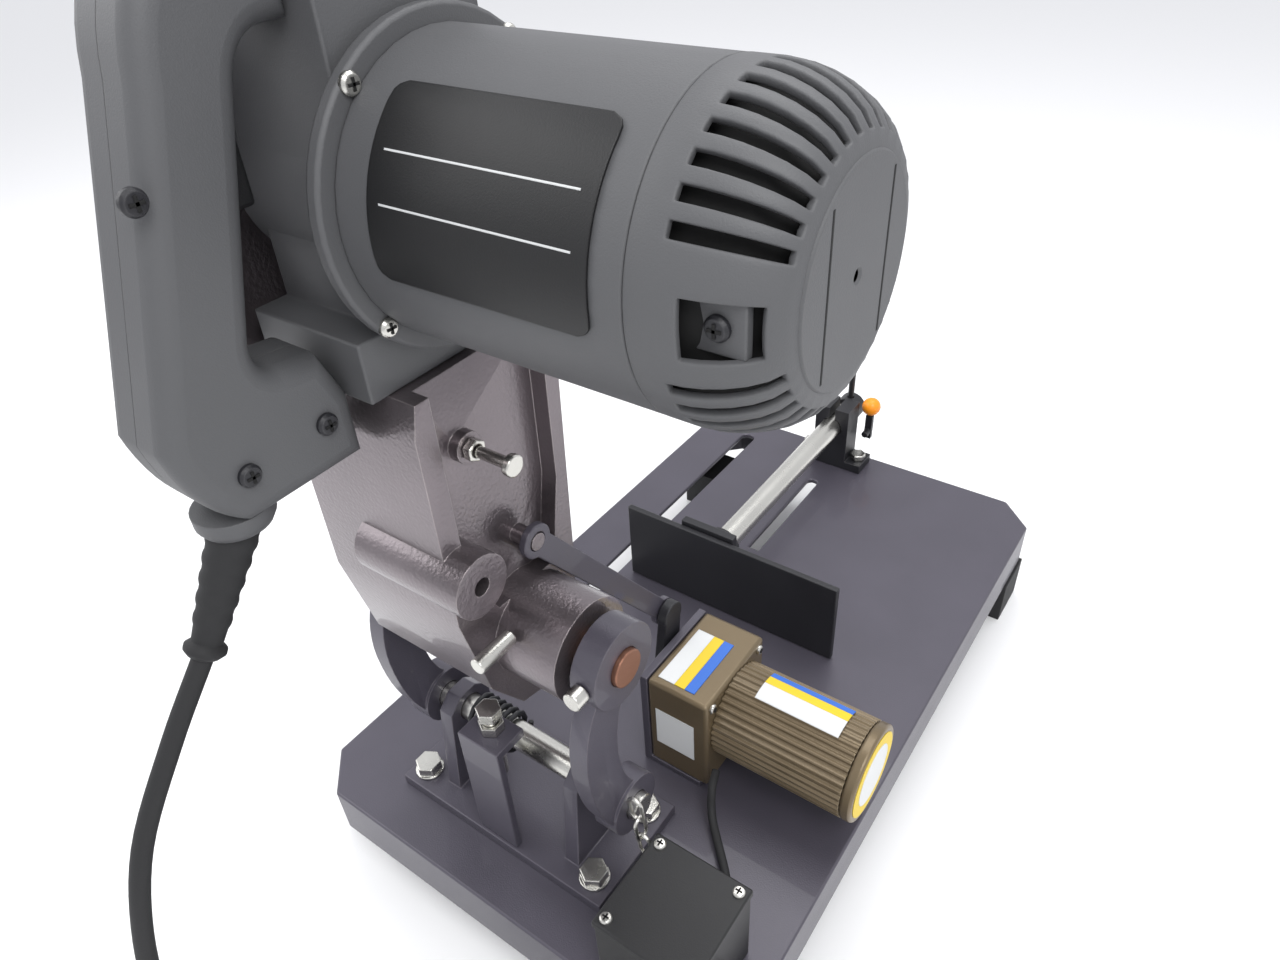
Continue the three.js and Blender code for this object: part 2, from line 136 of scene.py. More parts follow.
def make_floor():
    mesh = bpy.data.meshes.new("floor")
    places = [(x * FLOOR_REACH, y * FLOOR_REACH, 0) for x, y in ((-1, -1), (1, -1), (1, 1), (-1, 1))]
    mesh.from_pydata(places, [], [(0, 1, 2, 3)])
    floor = bpy.data.objects.new("floor", mesh)
    bpy.context.scene.collection.objects.link(floor)
    material = bpy.data.materials.new("floor")
    material.use_nodes = True
    shader = material.node_tree.nodes["Principled BSDF"]
    shader.inputs["Base Color"].default_value = FLOOR_COLOUR
    shader.inputs["Roughness"].default_value = FLOOR_ROUGHNESS
    mesh.materials.append(material)


def make_stage():
    bpy.context.scene.view_settings.view_transform = "Standard"
    make_sky()
    area_light("key", (0.9, -0.7, 1.6), (0, 0, 0.3), 0.8, 16)
    area_light("fill", (-1.2, -0.6, 1.2), (0, 0, 0.3), 1.2, 10)
    area_light("top", (0.0, 0.6, 1.9), (0, 0, 0.2), 1.2, 14)
    make_floor()


# ---------------------------------------------------------------- materials
MIX_SHARE, MIX_FIRST, MIX_SECOND, MIX_RESULT = 0, 6, 7, 2
BROAD_SCALE = 22
BROAD_DETAIL = 6
GRAIN_DETAIL = 3
GRAIN_HEIGHT = 0.0004
ROUNDED_EDGE = 0.0009
WORN_FROM, WORN_FULLY = 0.99, 0.90


def noise(tree, where, scale, detail):
    texture = tree.nodes.new("ShaderNodeTexNoise")
    texture.inputs["Scale"].default_value = scale
    texture.inputs["Detail"].default_value = detail
    tree.links.new(where, texture.inputs["Vector"])
    return texture.outputs["Fac"]


def mapped(tree, value, source, target):
    """A value moved from one range to another."""
    node = tree.nodes.new("ShaderNodeMapRange")
    for name, number in zip(("From Min", "From Max", "To Min", "To Max"), (*source, *target)):
        node.inputs[name].default_value = number
    tree.links.new(value, node.inputs["Value"])
    return node.outputs["Result"]


def mixed(tree, share, first, second):
    """A blend of two colours, each a plain colour or another node's output."""
    node = tree.nodes.new("ShaderNodeMix")
    node.data_type = "RGBA"
    tree.links.new(share, node.inputs[MIX_SHARE])
    for index, colour in ((MIX_FIRST, first), (MIX_SECOND, second)):
        if isinstance(colour, tuple):
            node.inputs[index].default_value = (*colour, 1)
        else:
            tree.links.new(colour, node.inputs[index])
    return node.outputs[MIX_RESULT]


def worn_share(tree, rounded_normal, broad):
    """How far the finish is worn: most on edges, where the rounded normal leaves the flat one."""
    dot = tree.nodes.new("ShaderNodeVectorMath")
    dot.operation = "DOT_PRODUCT"
    tree.links.new(rounded_normal, dot.inputs[0])
    tree.links.new(tree.nodes.new("ShaderNodeNewGeometry").outputs["Normal"], dot.inputs[1])
    share = tree.nodes.new("ShaderNodeMath")
    share.operation = "MULTIPLY"
    tree.links.new(mapped(tree, dot.outputs["Value"], (WORN_FROM, WORN_FULLY), (0, 1)), share.inputs[0])
    tree.links.new(broad, share.inputs[1])
    return share.outputs["Value"]


def surface(name, colour, rough, metallic, grain, patches, wear=None, coat=0.0):
    """A finish with fine grain (scale, strength), broad patches in its colour, and worn edges."""
    material = bpy.data.materials.new(name)
    material.use_nodes = True
    tree = material.node_tree
    shader = tree.nodes["Principled BSDF"]
    shader.inputs["Metallic"].default_value = metallic
    shader.inputs["Coat Weight"].default_value = coat
    where = tree.nodes.new("ShaderNodeTexCoord").outputs["Object"]
    broad = noise(tree, where, BROAD_SCALE, BROAD_DETAIL)
    darker = tuple(c * (1 - patches) for c in colour)
    lighter = tuple(min(1, c * (1 + patches)) for c in colour)
    finish = mixed(tree, broad, darker, lighter)
    rounded = tree.nodes.new("ShaderNodeBevel")
    rounded.samples = 4
    rounded.inputs["Radius"].default_value = ROUNDED_EDGE
    if wear:
        finish = mixed(tree, worn_share(tree, rounded.outputs["Normal"], broad), finish, wear)
    tree.links.new(finish, shader.inputs["Base Color"])
    roughness = mapped(tree, broad, (0, 1), (rough * 0.85, min(1, rough * 1.15)))
    tree.links.new(roughness, shader.inputs["Roughness"])
    bump = tree.nodes.new("ShaderNodeBump")
    bump.inputs["Strength"].default_value = grain[1]
    bump.inputs["Distance"].default_value = GRAIN_HEIGHT
    tree.links.new(noise(tree, where, grain[0], GRAIN_DETAIL), bump.inputs["Height"])
    tree.links.new(rounded.outputs["Normal"], bump.inputs["Normal"])
    tree.links.new(bump.outputs["Normal"], shader.inputs["Normal"])
    return material


SLOT_FINISHES = {
    "table_paint": dict(colour=(0.074, 0.068, 0.088), rough=0.42, metallic=0.25, grain=(1100, 0.35),
                        patches=0.14, wear=(0.16, 0.14, 0.15), coat=0.2),
    "cast_paint": dict(colour=(0.19, 0.165, 0.175), rough=0.33, metallic=0.8, grain=(480, 0.8),
                       patches=0.22, wear=(0.5, 0.45, 0.44), coat=0.3),
    "housing_plastic": dict(colour=(0.082, 0.083, 0.087), rough=0.55, metallic=0, grain=(1500, 0.3),
                            patches=0.06, wear=(0.13, 0.13, 0.13)),
    "black_plastic": dict(colour=(0.008, 0.008, 0.009), rough=0.5, metallic=0, grain=(1200, 0.25),
                          patches=0.2),
    "rubber": dict(colour=(0.012, 0.012, 0.013), rough=0.72, metallic=0, grain=(800, 0.3), patches=0.25),
    "zinc_steel": dict(colour=(0.62, 0.61, 0.57), rough=0.27, metallic=1, grain=(700, 0.2), patches=0.12),
    "olive_paint": dict(colour=(0.17, 0.128, 0.075), rough=0.4, metallic=0.55, grain=(900, 0.3),
                        patches=0.12, wear=(0.34, 0.28, 0.2), coat=0.15),
    "black_metal": dict(colour=(0.014, 0.014, 0.017), rough=0.45, metallic=0.1, grain=(1000, 0.35),
                        patches=0.2, wear=(0.07, 0.07, 0.075)),
    "copper": dict(colour=(0.30, 0.15, 0.10), rough=0.42, metallic=0.9, grain=(500, 0.25), patches=0.25),
    "orange_plastic": dict(colour=(0.93, 0.30, 0.01), rough=0.35, metallic=0, grain=(600, 0.1),
                           patches=0.08),
}
PLAIN_FINISHES = {
    "plate_black": dict(colour=(0.0035, 0.0035, 0.004), rough=0.42, metallic=0, grain=(1600, 0.15),
                        patches=0.1),
    "print_white": dict(colour=(0.66, 0.67, 0.67), rough=0.5, metallic=0, grain=(900, 0.1), patches=0.05),
    "print_yellow": dict(colour=(0.72, 0.52, 0.015), rough=0.5, metallic=0, grain=(900, 0.1), patches=0.05),
    "print_blue": dict(colour=(0.03, 0.14, 0.55), rough=0.5, metallic=0, grain=(900, 0.1), patches=0.05),
    # painted shade: a near-black finish put where only shade falls, in grooves, screw sockets and behind
    # the motor vents
    "painted_shade_black": dict(colour=(0.003, 0.003, 0.003), rough=0.8, metallic=0, grain=(600, 0.1), patches=0.1),
}
MATERIALS = {name: surface(name, **finish) for name, finish in SLOT_FINISHES.items()}
PLAIN = {name: surface(name, **finish) for name, finish in PLAIN_FINISHES.items()}


# ---------------------------------------------------------------- mesh helpers
def mesh_piece(name, mesh, slot, body, material=None, smooth=35):
    """A piece made of a mesh, smooth up to an angle in degrees. A piece with no body is left unattached."""
    mesh.materials.clear()
    mesh.materials.append(material or MATERIALS[slot])
    piece = bpy.data.objects.new(name, mesh)
    bpy.context.scene.collection.objects.link(piece)
    mesh.shade_smooth()
    mesh.set_sharp_from_angle(angle=math.radians(smooth))
    if body:
        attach(piece, body)
    return piece


def new_piece(name, bm, slot, body, material=None, smooth=35):
    """A piece made of what bm holds. It uses bm up."""
    mesh = bpy.data.meshes.new(name)
    bmesh.ops.recalc_face_normals(bm, faces=bm.faces)
    bm.to_mesh(mesh)
    bm.free()
    return mesh_piece(name, mesh, slot, body, material, smooth)


def soften(piece, width, segments=2, angle=35):
    bevel = piece.modifiers.new("edges", "BEVEL")
    bevel.width = width
    bevel.segments = segments
    bevel.limit_method = "ANGLE"
    bevel.angle_limit = math.radians(angle)


def mark_face_edges(bm, x):
    """Gives full bevel weight to the edges that lie in the plane at x, and none to the others."""
    weights = bm.edges.layers.float.new("bevel_weight_edge")
    for edge in bm.edges:
        on_face = all(abs(v.co.x - x) < 0.2 * MM for v in edge.verts)
        edge[weights] = 1.0 if on_face else 0.0


def refined(node, width, segments=2, round_face=None):
    """A copy of a CAD node, flat faces merged and edges rounded, which stands for the node.

    With round_face, only the edges in the plane at that x are rounded."""
    bm = bmesh.new()
    bm.from_mesh(frame["nodes"][node].data)
    bmesh.ops.remove_doubles(bm, verts=bm.verts, dist=1e-6)
    bmesh.ops.dissolve_limit(bm, angle_limit=math.radians(1), verts=bm.verts, edges=bm.edges)
    if round_face is not None:
        mark_face_edges(bm, round_face)
    mesh = bpy.data.meshes.new(node + "_fine")
    bm.to_mesh(mesh)
    bm.free()
    piece = mesh_piece(node + "_fine", mesh, SLOT_OF[node], BODY_OF[node])
    soften(piece, width, segments)
    if round_face is not None:
        piece.modifiers["edges"].limit_method = "WEIGHT"
    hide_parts(node)
    return piece


def join_rings(bm, low, high):
    """Faces between two rings that have the same number of points."""
    count = len(low)
    for i in range(count):
        j = (i + 1) % count
        bm.faces.new((low[i], low[j], high[j], high[i]))


def lathe(bm, profile, centre, axis, segments=48):
    """Turns (radius, distance along the axis) points into a closed body of revolution."""
    turn = Vector((0, 0, 1)).rotation_difference(Vector(axis))
    rings = []
    for radius, along in profile:
        count = segments if radius > 0 else 1
        ring = []
        for i in range(count):
            a = 2 * math.pi * i / segments
            offset = Vector((radius * math.cos(a), radius * math.sin(a), along))
            ring.append(bm.verts.new(Vector(centre) + turn @ offset))
        rings.append(ring)
    for low, high in zip(rings, rings[1:]):
        for i in range(segments):
            j = (i + 1) % segments
            around = [low[i % len(low)], low[j % len(low)], high[j % len(high)], high[i % len(high)]]
            unique = list(dict.fromkeys(around))
            if len(unique) > 2:
                bm.faces.new(unique)


def block(bm, low, high, turn=None, about=None):
    """A box between two corners, turned about a point if asked."""
    low, high = Vector(low), Vector(high)
    made = bmesh.ops.create_cube(bm, size=1)
    for v in made["verts"]:
        v.co = Vector((low[i] + (v.co[i] + 0.5) * (high[i] - low[i]) for i in range(3)))
        if turn is not None:
            v.co = Vector(about) + turn @ (v.co - Vector(about))


def tube(bm, path, radius, sides=16):
    """A round tube along a list of points, closed at both ends, with no twist.

    The radius is one number or a list with one for each point."""
    points = [Vector(p) for p in path]
    radii = radius if isinstance(radius, list) else [radius] * len(points)
    angles = [2 * math.pi * k / sides for k in range(sides)]
    normal = None
    rings = []
    for i, point in enumerate(points):
        ahead = points[min(i + 1, len(points) - 1)] - points[max(i - 1, 0)]
        ahead.normalize()
        if normal is None:
            normal = ahead.orthogonal().normalized()
        normal = (normal - ahead * normal.dot(ahead)).normalized()
        across = ahead.cross(normal)
        offsets = [(normal * math.cos(a) + across * math.sin(a)) * radii[i] for a in angles]
        rings.append([bm.verts.new(point + offset) for offset in offsets])
    for low, high in zip(rings, rings[1:]):
        join_rings(bm, low, high)
    bm.faces.new(list(reversed(rings[0])))
    bm.faces.new(rings[-1])


def smooth_path(points, per_span=6):
    """Points along a Catmull-Rom curve through the given points."""
    pts = [Vector(p) for p in points]
    pts = [2 * pts[0] - pts[1]] + pts + [2 * pts[-1] - pts[-2]]
    out = []
    for i in range(1, len(pts) - 2):
        a, b, c, d = pts[i - 1:i + 3]
        slope = c - a
        bend = 2 * a - 5 * b + 4 * c - d
        twist = 3 * b - a - 3 * c + d
        for k in range(per_span):
            t = k / per_span
            out.append(0.5 * (2 * b + slope * t + bend * t * t + twist * t ** 3))
    out.append(pts[-2])
    return out


def curved_patch(bm, middle_x, axis, radius, reach, angles, corner=0.0, thickness=0.0006):
    """A thin patch wrapped on a cylinder along X, with rounded corners if asked.

    The reach along X is from middle_x, and the angles are in degrees from +Y towards +Z."""
    steps = 18
    arc = math.radians(angles[1] - angles[0]) * radius
    wide = reach[1] - reach[0]
    layers = []
    for lift in (0.0, thickness):
        grid = []
        for i in range(steps + 1):
            row = []
            for j in range(steps + 1):
                u, v = rounded_corner(wide * i / steps, arc * j / steps, wide, arc, corner)
                a = math.radians(angles[0]) + v / radius
                row.append(bm.verts.new(round_x(axis, middle_x + reach[0] + u, radius + lift, a)))
            grid.append(row)
        layers.append(grid)
    for grid in layers:
        for i in range(steps):
            for j in range(steps):
                bm.faces.new((grid[i][j], grid[i + 1][j], grid[i + 1][j + 1], grid[i][j + 1]))
    edge = [(i, 0) for i in range(steps)] + [(steps, j) for j in range(steps)]
    edge += [(i, steps) for i in range(steps, 0, -1)] + [(0, j) for j in range(steps, 0, -1)]
    rims = [[grid[i][j] for i, j in edge] for grid in layers]
    join_rings(bm, rims[0], rims[1])


def rounded_corner(u, v, wide, tall, corner):
    """A point of a rectangle, pulled in where it would lie outside a rounded corner."""
    inner_u = min(max(u, corner), wide - corner)
    inner_v = min(max(v, corner), tall - corner)
    away = math.hypot(u - inner_u, v - inner_v)
    if corner == 0 or away <= corner:
        return u, v
    return inner_u + (u - inner_u) * corner / away, inner_v + (v - inner_v) * corner / away


# ---------------------------------------------------------------- mains cord, boot, coil and plug
CORD_WIDTH = 0.009
CORD_EXIT = spot(130, -37, 403)
CORD_POINTS = [spot(*p) for p in [
    (130, -72, 352), (130, -99, 322), (129, -128, 282), (128, -146, 235), (127, -156, 185),
    (125, -160, 130), (122, -160, 85), (122, -160, 50), (122, -158, 36), (122, -151, 23),
    (122, -143, 14.6), (122, -132, 7.8), (122, -123, 5.2)]]
PLUG_POINTS = [spot(199, -51, 14.6), spot(209, -51, 16.2), spot(219, -51, 17.8), spot(229, -51, 18.8)]
COIL_MIDDLE = spot(190, -115, 0)
COIL_LAYER_TURNS = 2.5
COIL_CLIMB_TURNS = 0.25
COIL_TURNS = 2 * COIL_LAYER_TURNS + COIL_CLIMB_TURNS
COIL_STARTS = 0.068
COIL_INNER = 0.041
COIL_ENDS = 0.064
COIL_LOW = 0.0046
COIL_HIGH = 0.0139
BOOT_STEPS = 28
BOOT_ROOT = 0.0105
BOOT_TAPER = 0.0045
BOOT_RIB = 0.0006
BOOT_LIP = [0.0088, 0.0088, 0.0068]


def coil_point(turn):
    """Two flat layers: inwards on the floor, then outwards on top of it, ending at the plug's height."""
    angle = math.pi - 2 * math.pi * turn
    climb = turn - COIL_LAYER_TURNS
    outwards = climb - COIL_CLIMB_TURNS
    if climb <= 0:
        radius = COIL_STARTS - (COIL_STARTS - COIL_INNER) * turn / COIL_LAYER_TURNS
        height = COIL_LOW
    elif outwards <= 0:
        radius = COIL_INNER
        height = COIL_LOW + (COIL_HIGH - COIL_LOW) * climb / COIL_CLIMB_TURNS
    else:
        radius = COIL_INNER + (COIL_ENDS - COIL_INNER) * outwards / COIL_LAYER_TURNS
        height = COIL_HIGH
    return COIL_MIDDLE + Vector((radius * math.cos(angle), radius * math.sin(angle), height))


def mains_cord():
    """The hanging stretch, the coil and the way to the plug, as one tube."""
    per_turn = 32
    path = smooth_path(CORD_POINTS)
    path += [coil_point(i / per_turn) for i in range(int(COIL_TURNS * per_turn) + 1)]
    path += PLUG_POINTS
    bm = bmesh.new()
    tube(bm, path, CORD_WIDTH / 2)
    cord = new_piece("mains_cord_flex", bm, "rubber", None, smooth=60)
    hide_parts("mains_cord", "cord_coil")
    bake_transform(cord)
    plug = refined("mains_plug", 0.0012, 3)


def cord_boot():
    """A ribbed sleeve that tapers along the cord and ends in a lip."""
    path = [CORD_EXIT.lerp(CORD_POINTS[0], i / BOOT_STEPS) for i in range(BOOT_STEPS + 1)]
    radii = []
    for i in range(BOOT_STEPS + 1):
        ribbed = i % 4 < 2 and 3 < i < BOOT_STEPS - 4
        radii.append(BOOT_ROOT - BOOT_TAPER * i / BOOT_STEPS + (BOOT_RIB if ribbed else 0))
    radii[-len(BOOT_LIP):] = BOOT_LIP
    bm = bmesh.new()
    tube(bm, path, radii, 24)
    boot = new_piece("cord_boot_fine", bm, "rubber", "head", smooth=50)
    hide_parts("cord_boot")


def handle_collar():
    """The ring between the handle's end and the boot, set a little way into the handle."""
    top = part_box("handle_right")[0][2] + 0.5 * MM
    outline = [(0, 0), (0.0165, 0), (0.0165, -0.006), (0.0145, -0.0095), (0.0115, -0.011), (0, -0.011)]
    bm = bmesh.new()
    lathe(bm, outline, Vector((CORD_EXIT.x, CORD_EXIT.y, top)), (0, 0, 1), 32)
    new_piece("handle_collar", bm, "housing_plastic", "head")


# ---------------------------------------------------------------- motor end cap with its vents
CAP_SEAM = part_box("motor_end_cap")[0][0]
CAP_SEGMENTS = 144
CAP_WALL = 0.003
# (radius, distance from the seam) in millimetres, from the seam to the rim of the flat end
CAP_PROFILE = [(59, 0), (59, 6), (59, 12), (58.4, 18), (57, 24), (54.8, 30),
               (51.6, 36), (47.6, 41), (43, 44.4), (38, 45.7)]
# Rows count the bands between two points of the profile. Angles are in degrees.
VENT_ROWS = range(2, 8)
VENT_PITCH = 10
VENT_WIDTH = 5
VENTS_END = 20
RECESS_ROWS = range(3, 7)
RECESS_REACH = 9


def is_open(row, degrees):
    """True over the vents and the two screw recesses. The solid bands are at the front and the rear."""
    from_band = min(abs(degrees - band) for band in (0, 180, 360))
    vent = row in VENT_ROWS and from_band > VENTS_END and degrees % VENT_PITCH < VENT_WIDTH
    recess = row in RECESS_ROWS and from_band < RECESS_REACH
    return vent or recess


def cap_shell():
    bm = bmesh.new()
    angles = [2 * math.pi * i / CAP_SEGMENTS for i in range(CAP_SEGMENTS)]
    rings = []
    for radius, along in CAP_PROFILE:
        places = [round_x(MOTOR_AXIS, CAP_SEAM + along * MM, radius * MM, a) for a in angles]
        rings.append([bm.verts.new(place) for place in places])
    for row, (low, high) in enumerate(zip(rings, rings[1:])):
        for i in range(CAP_SEGMENTS):
            if not is_open(row, (i + 0.5) * 360 / CAP_SEGMENTS):
                j = (i + 1) % CAP_SEGMENTS
                bm.faces.new((low[i], low[j], high[j], high[i]))
    length = CAP_PROFILE[-1][1] * MM
    centre = bm.verts.new(MOTOR_AXIS + Vector((CAP_SEAM + length, 0, 0)))
    for i in range(CAP_SEGMENTS):
        bm.faces.new((rings[-1][i], rings[-1][(i + 1) % CAP_SEGMENTS], centre))
    cap = new_piece("motor_end_cap_fine", bm, "housing_plastic", "head")
    shell = cap.modifiers.new("shell", "SOLIDIFY")
    shell.thickness = CAP_WALL
    shell.offset = -1
    soften(cap, 0.0006, 2, 50)
    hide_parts("motor_end_cap")


def fan_shroud():
    """The real body behind the vents, made near black as painted shade for the dark inside the cap."""
    outline = [(0, 0.002), (0.052, 0.002), (0.052, 0.014), (0.047, 0.030), (0.036, 0.040), (0, 0.041)]
    bm = bmesh.new()
    lathe(bm, outline, MOTOR_AXIS + Vector((CAP_SEAM, 0, 0)), (1, 0, 0), 48)
    # the shroud's near black is painted shade for the dark inside the cap, over the real parts there
    new_piece("motor_fan_shroud", bm, "black_metal", "head", PLAIN["painted_shade_black"])


def cap_disc():
    """The flat disc on the cap's end, with a dimple, and two upright strips of painted shade that stand for
    its grooves.
    """
    face = MOTOR_AXIS + Vector((CAP_SEAM + 0.0445, 0, 0))
    outline = [(0, 0), (0.0375, 0), (0.0375, 0.0012), (0.0368, 0.0020), (0.003, 0.0020), (0.002, 0.0012),
               (0, 0.0012)]
    bm = bmesh.new()
    lathe(bm, outline, face, (1, 0, 0), 72)
    new_piece("end_cap_disc", bm, "housing_plastic", "head")
    apart, half_width, half_height = 0.021, 0.0006, 0.028
    for where, side in SIDES:
        y = MOTOR_AXIS.y + side * apart
        groove = bmesh.new()
        block(groove, (face.x + 0.0015, y - half_width, MOTOR_AXIS.z - half_height),
              (face.x + 0.0021, y + half_width, MOTOR_AXIS.z + half_height))
        # each strip is painted shade standing for a groove, not a cut
        new_piece(f"end_cap_groove_shade_{where}", groove, "housing_plastic", "head", PLAIN["painted_shade_black"])


def cap_screws():
    """The floors of the two recesses, each with its screw."""
    out, half_depth, half_height = 0.0475, 0.002, 0.009
    for where, side in SIDES:
        y = MOTOR_AXIS.y + side * out
        pocket = bmesh.new()
        block(pocket, (CAP_SEAM + 0.017, y - half_depth, MOTOR_AXIS.z - half_height),
              (CAP_SEAM + 0.036, y + half_depth, MOTOR_AXIS.z + half_height))
        soften(new_piece(f"end_cap_pocket_{where}", pocket, "housing_plastic", "head"), 0.0005)
        seat = (CAP_SEAM + 0.027, y + side * 0.0018, MOTOR_AXIS.z)
        screw(f"end_cap_screw_{where}", seat, (0, side, 0), 0.0042, "head", slot="black_metal")


def motor_end_cap():
    cap_shell()
    fan_shroud()
    cap_disc()
    cap_screws()


# ---------------------------------------------------------------- feed gear motor
FEED_AXIS = axis_through("feed_motor")
FEED_FINS = 40
FIN_DEPTH = 0.0014
STICKER_BANDS = [(0.45, "print_white"), (0.28, "print_yellow"), (0.27, "print_blue")]
LABEL_BANDS = [(0.5, "print_white"), (0.28, "print_yellow"), (0.22, "print_blue")]


def feed_motor():
    """The finned barrel, each fin as wide as its groove, and the smooth end."""
    low, high = corners("feed_motor")
    radius = (high.z - low.z) / 2
    count = FEED_FINS * 4
    bm = bmesh.new()
    ends = []
    for x in (low.x, high.x):
        ring = []
        for i in range(count):
            in_groove = i % 4 in (1, 2)
            r = radius - (FIN_DEPTH if in_groove else 0)
            ring.append(bm.verts.new(round_x(FEED_AXIS, x, r, 2 * math.pi * i / count)))
        ends.append(ring)
    join_rings(bm, ends[0], ends[1])
    bm.faces.new(list(reversed(ends[0])))
    bm.faces.new(ends[1])
    body = new_piece("feed_motor_fins", bm, "olive_paint", "base", smooth=20)
    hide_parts("feed_motor")
    refined("feed_motor_cap", 0.0018, 3)


def feed_motor_end_label():
    """A yellow ring with a white disc in it."""
    face = FEED_AXIS + Vector((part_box("feed_motor_cap")[1][0], 0, 0))
    rounds = (("ring", 0.029, 0.0004, "print_yellow"), ("disc", 0.021, 0.0007, "print_white"))
    for name, outer, depth, finish in rounds:
        bm = bmesh.new()
        lathe(bm, [(0, 0), (outer, 0), (outer, depth), (0, depth)], face, (1, 0, 0), 40)
        new_piece(f"motor_end_{name}", bm, "olive_paint", "base", PLAIN[finish])


def flat_bands(name, corner, across, along, bands):
    """A flat sticker of plain coloured bands, with no print on it."""
    corner, across, along = Vector(corner), Vector(across), Vector(along)
    up = across.cross(along).normalized() * 0.3 * MM
    start = 0.0
    for index, (share, finish) in enumerate(bands):
        bm = bmesh.new()
        a = corner + across * start
        b = corner + across * (start + share)
        ring = [bm.verts.new(p) for p in (a, b, b + along, a + along)]
        top = [bm.verts.new(v.co + up) for v in ring]
        bm.faces.new(list(reversed(ring)))
        bm.faces.new(top)
        join_rings(bm, ring, top)
        new_piece(f"{name}_{index}", bm, "olive_paint", "base", PLAIN[finish])
        start += share


def wrapped_bands(name, middle_x, axis, radius, reach, angles, bands):
    """The same on a cylinder along X, from the greater angle to the smaller."""
    start = angles[1]
    for index, (share, finish) in enumerate(bands):
        stop = start - share * (angles[1] - angles[0])
        bm = bmesh.new()
        curved_patch(bm, middle_x, axis, radius, reach, (stop, start))
        new_piece(f"{name}_{index}", bm, "olive_paint", "base", PLAIN[finish])
        start = stop


def stickers():
    low, high = corners("gearbox")
    lift = 0.1 * MM
    flat_bands("gearbox_top_sticker", (low.x + 0.005, low.y + 0.006, high.z + lift), (0.028, 0, 0),
               (0, 0.05, 0), STICKER_BANDS)
    flat_bands("gearbox_rear_sticker", (low.x + 0.006, low.y - lift, low.z + 0.022), (0.030, 0, 0),
               (0, 0, 0.034), [(1.0, "print_white")])
    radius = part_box("feed_motor")[1][2] - FEED_AXIS.z + 0.3 * MM
    wrapped_bands("motor_label", middle("feed_motor").x, FEED_AXIS, radius, (-0.026, 0.032), (62, 108),
                  LABEL_BANDS)


# ---------------------------------------------------------------- rating plate
PLATE_RADIUS = 0.0592
PLATE_THICKNESS = 0.0009
PLATE_CORNER = 0.006


def rating_plate():
    """A blank plate with two plain lines across it."""
    middle_x = middle("motor_housing").x
    bm = bmesh.new()
    curved_patch(bm, middle_x, MOTOR_AXIS, PLATE_RADIUS, (-0.044, 0.050), (124, 190),
                 PLATE_CORNER, PLATE_THICKNESS)
    new_piece("rating_plate", bm, "housing_plastic", "head", PLAIN["plate_black"])
    for index, angle in enumerate((147, 164)):
        line = bmesh.new()
        curved_patch(line, middle_x, MOTOR_AXIS, PLATE_RADIUS + PLATE_THICKNESS, (-0.038, 0.044),
                     (angle, angle + 0.7), thickness=0.2 * MM)
        new_piece(f"rating_plate_line_{index + 1}", line, "housing_plastic", "head", PLAIN["print_white"])


# ---------------------------------------------------------------- screws, chain and lead
def screw(name, place, axis, radius, body, socket="cross", slot="zinc_steel"):
    """A domed screw head with a cross or hexagon of painted shade in it for its socket, all in proportion
    to its radius.
    """
    place, axis = Vector(place), Vector(axis).normalized()
    dome = [(0, 0), (radius, 0), (radius, radius * 0.4), (radius * 0.8, radius * 0.66), (0, radius * 0.76)]
    bm = bmesh.new()
    lathe(bm, dome, place, axis, 24)
    new_piece(name, bm, slot, body)
    turn = Vector((0, 0, 1)).rotation_difference(axis).to_matrix()
    recess = bmesh.new()
    if socket == "cross":
        for a, b in ((0.55, 0.13), (0.13, 0.55)):
            low = place + Vector((-a, -b, 0.62)) * radius
            high = place + Vector((a, b, 0.80)) * radius
            block(recess, low, high, turn, place)
    else:
        wide, low, high = radius * 0.5, radius * 0.6, radius * 0.79
        lathe(recess, [(0, low), (wide, low), (wide, high), (0, high)], place, axis, 6)
    # the cross or hexagon is painted shade for the screw's socket
    new_piece(name + "_socket_shade", recess, slot, body, PLAIN["painted_shade_black"])


def flange_screws():
    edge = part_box("motor_flange")[1][0]
    for index, degrees in enumerate((50, 130, 220, 310)):
        place = round_x(MOTOR_AXIS, edge, 0.0625, math.radians(degrees))
        screw(f"flange_screw_{index + 1}", place - Vector((0.5 * MM, 0, 0)), (1, 0, 0), 0.0042, "head")


def handle_screws():
    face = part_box("handle_right")[1][0]
    for index, (y, z) in enumerate(((-40, 540), (-36, 432), (2, 434))):
        place = spot(0, y, z)
        place.x = face - 0.3 * MM
        screw(f"handle_screw_{index + 1}", place, (1, 0, 0), 0.0048, "head", slot="black_metal")


def lid_screws():
    inset = 0.006
    low, high = corners("control_box_lid")
    low_x, high_x = low.x + inset, high.x - inset
    low_y, high_y = low.y + inset, high.y - inset
    for index, (x, y) in enumerate(((low_x, low_y), (high_x, low_y), (low_x, high_y), (high_x, high_y))):
        screw(f"lid_screw_{index + 1}", (x, y, high.z - 0.4 * MM), (0, 0, 1), 0.0036, "base")


def jaw_studs():
    inset = 0.009
    low, high = corners("jaw_bracket")
    for index, x in enumerate((low.x + inset, high.x - inset)):
        screw(f"jaw_stud_{index + 1}", (x, low.y + 0.0106, high.z - 0.014), (0, 1, 0), 0.005, "jaw", "hex")


def gearbox_screws():
    inset = 0.007
    low, high = corners("gearbox")
    for index, y in enumerate((low.y + inset, high.y - inset)):
        place = (high.x - 0.4 * MM, y, high.z - 0.006)
        screw(f"gearbox_screw_{index + 1}", place, (1, 0, 0), 0.0035, "base", "hex")


LINK_POINTS = 32
LINK_SIDES = 8
LINK_LENGTH = 0.020
LINK_WIDTH = 0.011
LINK_WIRE = 0.0025


